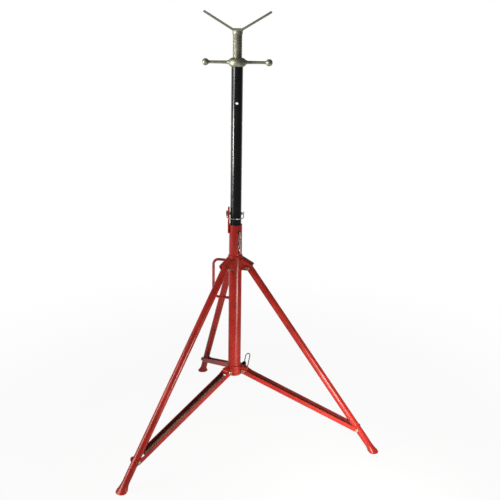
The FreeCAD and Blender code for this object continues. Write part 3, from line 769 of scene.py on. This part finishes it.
class STAND_OT_fasteners(bpy.types.Operator):
    """Bolts, nuts and the height pin"""
    bl_idname = "stand.fasteners"
    bl_label = "Fasteners"

    def execute(self, context):
        nodes = ["hub_bolts", "hub_nuts", "collar_bolts", "collar_nuts"]
        for station in STATIONS:
            nodes += ["brace_bolt_" + station, "brace_nut_" + station]
        for node in nodes:
            soften_node(node, sizes().fastener_radius, bolt_zinc())
        paint_node("height_pin", bright_zinc())
        return {"FINISHED"}


class STAND_OT_wires(bpy.types.Operator):
    """Bail, chain and its eyes"""
    bl_idname = "stand.wires"
    bl_label = "Wires"

    def execute(self, context):
        paint_node("pin_bail", bright_zinc())
        paint_node("keeper_chain", bright_zinc())
        paint_node("chain_eyes", oiled_steel())
        return {"FINISHED"}


class STAND_OT_screw(bpy.types.Operator):
    """Jack screw with a true right-hand thread"""
    bl_idname = "stand.screw"
    bl_label = "Screw"

    def execute(self, context):
        low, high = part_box("jack_screw")
        crest = radius_of("jack_screw")
        root = crest - sizes().thread_depth
        pitch = sizes().thread_pitch
        steps = sizes().thread_steps
        turns = math.ceil((high.z - low.z) / pitch) + SPARE_TURNS
        outline = [(root, 0.0), (root, HALF_ROOT), (crest, CREST_START),
                   (crest, 1 - CREST_START), (root, 1 - HALF_ROOT), (root, 1.0)]
        bm = bmesh.new()
        verts = [bm.verts.new((AXIS.x + r, AXIS.y, low.z + (share - 1) * pitch)) for r, share in outline]
        edges = [bm.edges.new(pair) for pair in zip(verts, verts[1:])]
        bmesh.ops.spin(bm, geom=verts + edges, cent=AXIS, axis=UP, dvec=UP * pitch / steps,
                       angle=math.tau * turns, steps=steps * turns, use_merge=False)
        bmesh.ops.remove_doubles(bm, verts=bm.verts, dist=THREAD_MERGE)
        for height, outward in ((low.z, -UP), (high.z, UP)):
            cut = bmesh.ops.bisect_plane(bm, geom=[*bm.verts, *bm.edges, *bm.faces], plane_co=(0, 0, height),
                                         plane_no=outward, clear_outer=True)
            bmesh.ops.holes_fill(bm, edges=edges_of(cut["geom_cut"]), sides=0)
        bmesh.ops.recalc_face_normals(bm, faces=bm.faces)
        finish_piece(bm, "jack_screw_thread", BODY_OF["jack_screw"], [thread_zinc()], ["jack_screw"])
        return {"FINISHED"}


class STAND_OT_nut(bpy.types.Operator):
    """Cast jack nut whose ring, arms and balls run into each other"""
    bl_idname = "stand.nut"
    bl_label = "Jack nut"

    def execute(self, context):
        low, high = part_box("jack_nut")
        middle = (low + high) / 2
        ring_radius = (high.y - low.y) / 2
        reach = (high.x - low.x) / 2 - sizes().nut_ball
        bm = bmesh.new()
        self.add_ring(bm, middle, ring_radius, (high.z - low.z) / 2)
        for side in (1, -1):
            self.add_arm(bm, middle, side, ring_radius, reach)
        bmesh.ops.recalc_face_normals(bm, faces=bm.faces)
        bm = self.run_together(bm, context)
        finish_piece(bm, "jack_nut_casting", BODY_OF["jack_nut"], [nut_zinc()], ["jack_nut"])
        return {"FINISHED"}

    def add_ring(self, bm, middle, ring_radius, half_height):
        """The ring, spun from its profile about the screw's bore."""
        bore = radius_of("jack_screw") + BORE_PLAY
        outer = [(r * ring_radius, z * half_height) for r, z in NUT_PROFILE]
        profile = [(bore, -half_height), *outer, (bore, half_height)]
        verts = [bm.verts.new((middle.x + r, middle.y, middle.z + z)) for r, z in profile]
        edges = [bm.edges.new(pair) for pair in zip(verts, verts[1:] + verts[:1])]
        bmesh.ops.spin(bm, geom=verts + edges, cent=middle, axis=UP, angle=math.tau, steps=RING_STEPS,
                       use_merge=True)

    def add_arm(self, bm, middle, side, ring_radius, reach):
        """An arm of three cones, each given by its two radii and its two ends, and the ball on it."""
        arm = sizes().nut_arm
        ball = sizes().nut_ball
        rod = (1.08 * arm, 0.96 * arm, 0.6 * ring_radius, reach)
        ring_flare = (1.8 * arm, arm, 0.82 * ring_radius, 1.16 * ring_radius)
        ball_flare = (0.9 * arm, 1.5 * arm, reach - 1.2 * ball, reach - 0.55 * ball)
        turn = Matrix.Rotation(side * math.pi / 2, 4, "Y")
        for start_radius, end_radius, start, end in (rod, ring_flare, ball_flare):
            place = Matrix.Translation(middle) @ turn @ Matrix.Translation((0, 0, (start + end) / 2))
            bmesh.ops.create_cone(bm, cap_ends=True, segments=ROUND_SIDES, radius1=start_radius,
                                  radius2=end_radius, depth=end - start, matrix=place)
        place = Matrix.Translation(middle + Vector((side * reach, 0, 0)))
        bmesh.ops.create_uvsphere(bm, u_segments=ROUND_SIDES, v_segments=20, radius=ball + BALL_ALLOWANCE,
                                  matrix=place)

    def run_together(self, bm, context):
        """The same parts as one closed skin, with soft corners where they meet."""
        rough = bpy.data.meshes.new("nut_pattern")
        bm.to_mesh(rough)
        bm.free()
        pattern = bpy.data.objects.new("nut_pattern", rough)
        context.scene.collection.objects.link(pattern)
        flow = pattern.modifiers.new("flow", "REMESH")
        flow.mode = "VOXEL"
        flow.voxel_size = sizes().casting_voxel
        ease = pattern.modifiers.new("ease", "SMOOTH")
        ease.factor = 0.5
        ease.iterations = 8
        cast = bpy.data.meshes.new_from_object(pattern.evaluated_get(context.evaluated_depsgraph_get()))
        joined = bmesh.new()
        joined.from_mesh(cast)
        bpy.data.objects.remove(pattern)
        for mesh in (rough, cast):
            bpy.data.meshes.remove(mesh)
        return joined


class STAND_OT_saddle(bpy.types.Operator):
    """V saddle bent from one flat bar, on its boss"""
    bl_idname = "stand.saddle"
    bl_label = "Saddle"

    def execute(self, context):
        own = sizes()
        low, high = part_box("v_saddle")
        top = low.z + own.saddle_plate
        rise = math.atan2(high.z - top, own.saddle_tip - own.saddle_flat)
        tangent = own.saddle_bend * math.tan(rise / 2)
        wing = math.hypot(high.z - top, own.saddle_tip - own.saddle_flat) - tangent
        flat = 2 * (own.saddle_flat - tangent)
        down = Vector((math.cos(rise), 0, -math.sin(rise)))
        under = Vector((-math.sin(rise), 0, -math.cos(rise))) * own.saddle_plate
        tip = Vector((AXIS.x - own.saddle_tip, low.y, high.z))
        bm = bmesh.new()
        edge = [bm.edges.new([bm.verts.new(tip), bm.verts.new(tip + under)])]
        edge = self.run(bm, edge, down * wing)
        edge = self.bend(bm, edge, Vector((AXIS.x - flat / 2, low.y, top + own.saddle_bend)), rise)
        edge = self.run(bm, edge, Vector((flat, 0, 0)))
        edge = self.bend(bm, edge, Vector((AXIS.x + flat / 2, low.y, top + own.saddle_bend)), rise)
        self.run(bm, edge, Vector((math.cos(rise), 0, math.sin(rise))) * wing)
        bmesh.ops.remove_doubles(bm, verts=bm.verts, dist=MERGE)
        made = bmesh.ops.extrude_face_region(bm, geom=list(bm.faces), use_keep_orig=True)["geom"]
        bmesh.ops.translate(bm, vec=(0, high.y - low.y, 0), verts=verts_of(made))
        bmesh.ops.recalc_face_normals(bm, faces=bm.faces)
        bm.faces.layers.float.new("edge")
        round_edges(bm, 1.6 * own.edge_radius, 3)
        finish_piece(bm, "v_saddle_bar", BODY_OF["v_saddle"], [bar_zinc()], ["v_saddle"])
        paint_node("saddle_boss", thread_zinc())
        return {"FINISHED"}

    def run(self, bm, edges, travel):
        """Draw the bar's section out in a straight line."""
        made = bmesh.ops.extrude_edge_only(bm, edges=edges)["geom"]
        bmesh.ops.translate(bm, vec=travel, verts=verts_of(made))
        return edges_of(made)

    def bend(self, bm, edges, centre, angle):
        """Draw the bar's section upwards round a centre."""
        section = edges + list({v for e in edges for v in e.verts})
        made = bmesh.ops.spin(bm, geom=section, cent=centre, axis=(0, -1, 0), angle=angle, steps=8,
                              use_merge=False)
        return edges_of(made["geom_last"])


class STAND_OT_welds(bpy.types.Operator):
    """Weld beads where the pieces of one body meet"""
    bl_idname = "stand.welds"
    bl_label = "Welds"

    def execute(self, context):
        self.ring_welds()
        self.lug_welds()
        self.collar_welds()
        self.handle_welds()
        self.bracket_welds()
        self.saddle_weld()
        return {"FINISHED"}

    def ring_welds(self):
        """Beads round the main tube at the ends of the hub sleeve."""
        own = sizes()
        radius = radius_of("main_tube") + HUB_BEAD_PROUD
        bm = bmesh.new()
        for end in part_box("hub_sleeve"):
            points = circle_points(AXIS + UP * end.z, radius, own.weld_step)
            weld_bead(bm, points, UP, own.weld_radius, closed=True)
        finish_welds(bm, "hub_ring_welds", "hub_sleeve", red_enamel())

    def upright_welds(self, piece, sleeve, radius, lower, upper):
        """Upright beads on both sides of a piece at each station, where it meets a sleeve."""
        own = sizes()
        bm = bmesh.new()
        for station in STATIONS:
            place = station_matrix(station)
            half_width = half_width_across(piece + "_" + station, place)
            reach = math.sqrt(radius ** 2 - half_width ** 2)
            for side in (1, -1):
                points = line_points(place @ Vector((reach, side * half_width, lower)),
                                     place @ Vector((reach, side * half_width, upper)), own.weld_step)
                weld_bead(bm, points, place.to_3x3() @ Vector((0, side, 0)), own.weld_radius)
        finish_welds(bm, piece + "_welds", sleeve, red_enamel())

    def lug_welds(self):
        """Beads where the leg lugs' cheeks meet the hub sleeve."""
        low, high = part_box("hub_lug_right")
        margin = 2 * sizes().weld_radius
        radius = radius_of("hub_sleeve")
        self.upright_welds("hub_lug", "hub_sleeve", radius, low.z + margin, high.z - 2 * margin)

    def collar_welds(self):
        """Beads where the braces' blocks meet the collar; its radius is read on the side without the boss."""
        radius = AXIS.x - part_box("brace_collar")[0].x
        low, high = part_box("collar_lug_right")
        margin = sizes().weld_radius
        self.upright_welds("collar_lug", "brace_collar", radius, low.z + margin, high.z - margin)

    def handle_welds(self):
        """Beads round the handle's two ends, on the hub sleeve and on the main tube."""
        own = sizes()
        low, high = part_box("carry_handle")
        corners = [v.co for v in frame["nodes"]["carry_handle"].data.vertices]
        outward = (sum(corners, Vector()) / len(corners) - AXIS) * LEVEL
        outward.normalize()
        turn = UP.rotation_difference(outward).to_matrix()
        bm = bmesh.new()
        for node, height in (("hub_sleeve", high.z - own.handle_rod), ("main_tube", low.z + own.handle_rod)):
            centre = AXIS + UP * height + outward * radius_of(node)
            points = circle_points(centre, own.handle_rod, own.weld_step, turn)
            weld_bead(bm, points, outward, THIN_BEAD * own.weld_radius, closed=True)
        finish_welds(bm, "carry_handle_welds", "carry_handle", red_enamel())

    def bracket_welds(self):
        """Upright beads at the sides of the pin bracket on the main tube."""
        own = sizes()
        low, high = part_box("pin_bracket")
        bottom = low.z + BRACKET_BEAD_END
        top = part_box("main_tube")[1].z - BRACKET_BEAD_END
        reach = high.x - AXIS.x
        half_width = math.sqrt(radius_of("main_tube") ** 2 - reach ** 2)
        bm = bmesh.new()
        for side in (1, -1):
            across = side * (half_width + BRACKET_BEAD_PROUD)
            foot = AXIS + Vector((reach - BRACKET_BEAD_INSET, across, 0))
            points = line_points(foot + UP * bottom, foot + UP * top, own.weld_step)
            weld_bead(bm, points, Vector((0, side, 0)), THIN_BEAD * own.weld_radius)
        finish_welds(bm, "bracket_welds", "pin_bracket", red_enamel())

    def saddle_weld(self):
        """Bead round the boss under the saddle bar."""
        own = sizes()
        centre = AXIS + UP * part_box("saddle_boss")[1].z
        points = circle_points(centre, radius_of("saddle_boss") - SADDLE_BEAD_INSET, own.weld_step)
        bm = bmesh.new()
        weld_bead(bm, points, UP, own.weld_radius, closed=True)
        finish_welds(bm, "saddle_weld", "saddle_boss", thread_zinc())


# Stage
def studio_ray(tree, direction, reach):
    """1 for rays that see the white studio: the camera's, transmitted ones, and reflections towards it."""
    path = add(tree, "ShaderNodeLightPath").outputs
    depth = add(tree, "ShaderNodeVectorMath", operation="DOT_PRODUCT")
    join(tree, direction, depth.inputs[0])
    depth.inputs[1].default_value = BACKDROP
    mirrored = math_node(tree, "MULTIPLY", path["Is Glossy Ray"], ramp(tree, depth.outputs["Value"], *reach))
    seen = math_node(tree, "MAXIMUM", path["Is Camera Ray"], mirrored)
    return math_node(tree, "MAXIMUM", seen, path["Is Transmission Ray"])


def floor_material():
    """Pale floor that keeps the stand's shadow and fades to white far away."""
    name = "studio_floor"
    tree = start_material(name)
    if tree:
        tree.nodes.remove(tree.nodes["Principled BSDF"])
        diffuse = add(tree, "ShaderNodeBsdfDiffuse", Color=(*colours().floor, 1))
        white = add(tree, "ShaderNodeEmission", Strength=1.0)
        place = object_coordinates(tree)
        distance = add(tree, "ShaderNodeVectorMath", operation="LENGTH")
        join(tree, place, distance.inputs[0])
        fade = ramp(tree, distance.outputs["Value"], *FLOOR_FADE)
        fade = math_node(tree, "ADD", math_node(tree, "MULTIPLY", fade, 1 - NEAR_WHITE), NEAR_WHITE)
        lit = add(tree, "ShaderNodeMixShader")
        join(tree, math_node(tree, "MULTIPLY", fade, studio_ray(tree, place, FLOOR_REACH)), lit.inputs["Fac"])
        join(tree, diffuse.outputs[0], lit.inputs[1])
        join(tree, white.outputs[0], lit.inputs[2])
        join(tree, lit.outputs[0], tree.nodes["Material Output"].inputs["Surface"])
    return bpy.data.materials[name]


def studio_world(world, fill, room):
    """White paper behind the stand, soft light from all round, and a dim room in reflections."""
    world.use_nodes = True
    tree = world.node_tree
    background = tree.nodes["Background"]
    background.inputs["Color"].default_value = (1, 1, 1, 1)
    direction = add(tree, "ShaderNodeTexCoord").outputs["Generated"]
    mirrored = add(tree, "ShaderNodeLightPath").outputs["Is Glossy Ray"]
    dim = math_node(tree, "SUBTRACT", fill, math_node(tree, "MULTIPLY", mirrored, fill - room))
    level = math_node(tree, "MAXIMUM", dim, studio_ray(tree, direction, SKY_REACH))
    join(tree, level, background.inputs["Strength"])


def soft_box(name, power, colour, place, target, size, spread=180):
    """A rectangular area light that faces a point, both measured from the stand's axis on the floor."""
    light = bpy.data.lights.new(name, "AREA")
    light.shape = "RECTANGLE"
    light.size, light.size_y = size
    light.energy = power
    light.color = colour
    light.spread = math.radians(spread)
    box = bpy.data.objects.new(name, light)
    box.location = AXIS + Vector(place)
    box.visible_camera = False
    box.rotation_euler = (Vector(target) - Vector(place)).to_track_quat("-Z", "Y").to_euler()
    bpy.context.scene.collection.objects.link(box)


class STAND_OT_stage(bpy.types.Operator):
    """Floor, soft studio light and the camera"""
    bl_idname = "stand.stage"
    bl_label = "Stage"

    def execute(self, context):
        scene = context.scene
        own = scene.stand_stage
        # A default scene's own objects, where there are any
        for name in ("Cube", "Light", "Camera"):
            if name in bpy.data.objects:
                bpy.data.objects.remove(bpy.data.objects[name])
        scene.view_settings.view_transform = "Standard"
        self.add_floor(scene)
        scene.world = scene.world or bpy.data.worlds.new("studio")
        studio_world(scene.world, own.fill, own.room)
        self.add_lights(own)
        self.add_camera(scene, own)
        return {"FINISHED"}

    def add_floor(self, scene):
        """A wide level sheet under the stand."""
        bm = bmesh.new()
        bmesh.ops.create_grid(bm, x_segments=1, y_segments=1, size=FLOOR_HALF)
        mesh = bpy.data.meshes.new("studio_floor")
        bm.to_mesh(mesh)
        bm.free()
        mesh.materials.append(floor_material())
        floor = bpy.data.objects.new("studio_floor", mesh)
        scene.collection.objects.link(floor)

    def add_lights(self, own):
        """Two boxes on the left for the upper half, and three near the legs and braces."""
        soft_box("strip_box", own.strip_power, own.daylight, place=(-2.42, -0.96, 1.08), target=(0, 0, 1.45),
                 size=(0.64, 0.45), spread=60)
        soft_box("side_box", own.side_power, own.daylight, place=(-2.30, -1.22, 2.00), target=(0, 0, 1.95),
                 size=(0.80, 0.80), spread=40)
        soft_box("low_box", own.low_power, own.warmth, place=(0.70, -0.88, 0.34), target=(0.32, -0.08, 0.20),
                 size=(0.26, 0.26))
        soft_box("brace_box", own.brace_power, own.warmth, place=(0.45, -0.75, 0.12),
                 target=(0.38, -0.09, 0.18), size=(0.50, 0.12), spread=80)
        soft_box("leg_box", own.leg_power, own.warmth, place=(-1.35, -0.75, 0.75),
                 target=(-0.38, -0.40, 0.26), size=(0.95, 0.95), spread=55)

    def add_camera(self, scene, own):
        """The camera at the photograph's place and angle."""
        lens = bpy.data.cameras.new("photo_camera")
        lens.lens = own.lens
        lens.sensor_width = 36.0
        lens.clip_end = 200.0
        camera = bpy.data.objects.new("photo_camera", lens)
        pitch = Matrix.Rotation(math.pi / 2 - own.camera_pitch, 4, "X")
        roll = Matrix.Rotation(own.camera_roll, 4, "Z")
        camera.matrix_world = Matrix.Translation(AXIS + Vector(own.camera_offset)) @ (pitch @ roll)
        scene.collection.objects.link(camera)
        scene.camera = camera


class STAND_PT_panel(bpy.types.Panel):
    """Lists the stand's finishing steps"""
    bl_idname = "STAND_PT_panel"
    bl_label = "Pipe stand"
    bl_space_type = "VIEW_3D"
    bl_region_type = "UI"
    bl_category = "Stand"

    def draw(self, context):
        for step in STEPS:
            self.layout.operator(step.bl_idname)


STEPS = (STAND_OT_tubes, STAND_OT_hub, STAND_OT_collar, STAND_OT_braces, STAND_OT_fasteners, STAND_OT_wires,
         STAND_OT_screw, STAND_OT_nut, STAND_OT_saddle, STAND_OT_welds, STAND_OT_stage)
CLASSES = (StandSizes, StandColours, StageSettings, *STEPS, STAND_PT_panel)


def register():
    for item in CLASSES:
        bpy.utils.register_class(item)
    bpy.types.Scene.stand_sizes = PointerProperty(type=StandSizes)
    bpy.types.Scene.stand_colours = PointerProperty(type=StandColours)
    bpy.types.Scene.stand_stage = PointerProperty(type=StageSettings)


def unregister():
    for name in ("stand_sizes", "stand_colours", "stand_stage"):
        delattr(bpy.types.Scene, name)
    for item in reversed(CLASSES):
        bpy.utils.unregister_class(item)


def main():
    register()
    for step in STEPS:
        group, name = step.bl_idname.split(".")
        getattr(getattr(bpy.ops, group), name)()


if __name__ == "__main__":
    main()
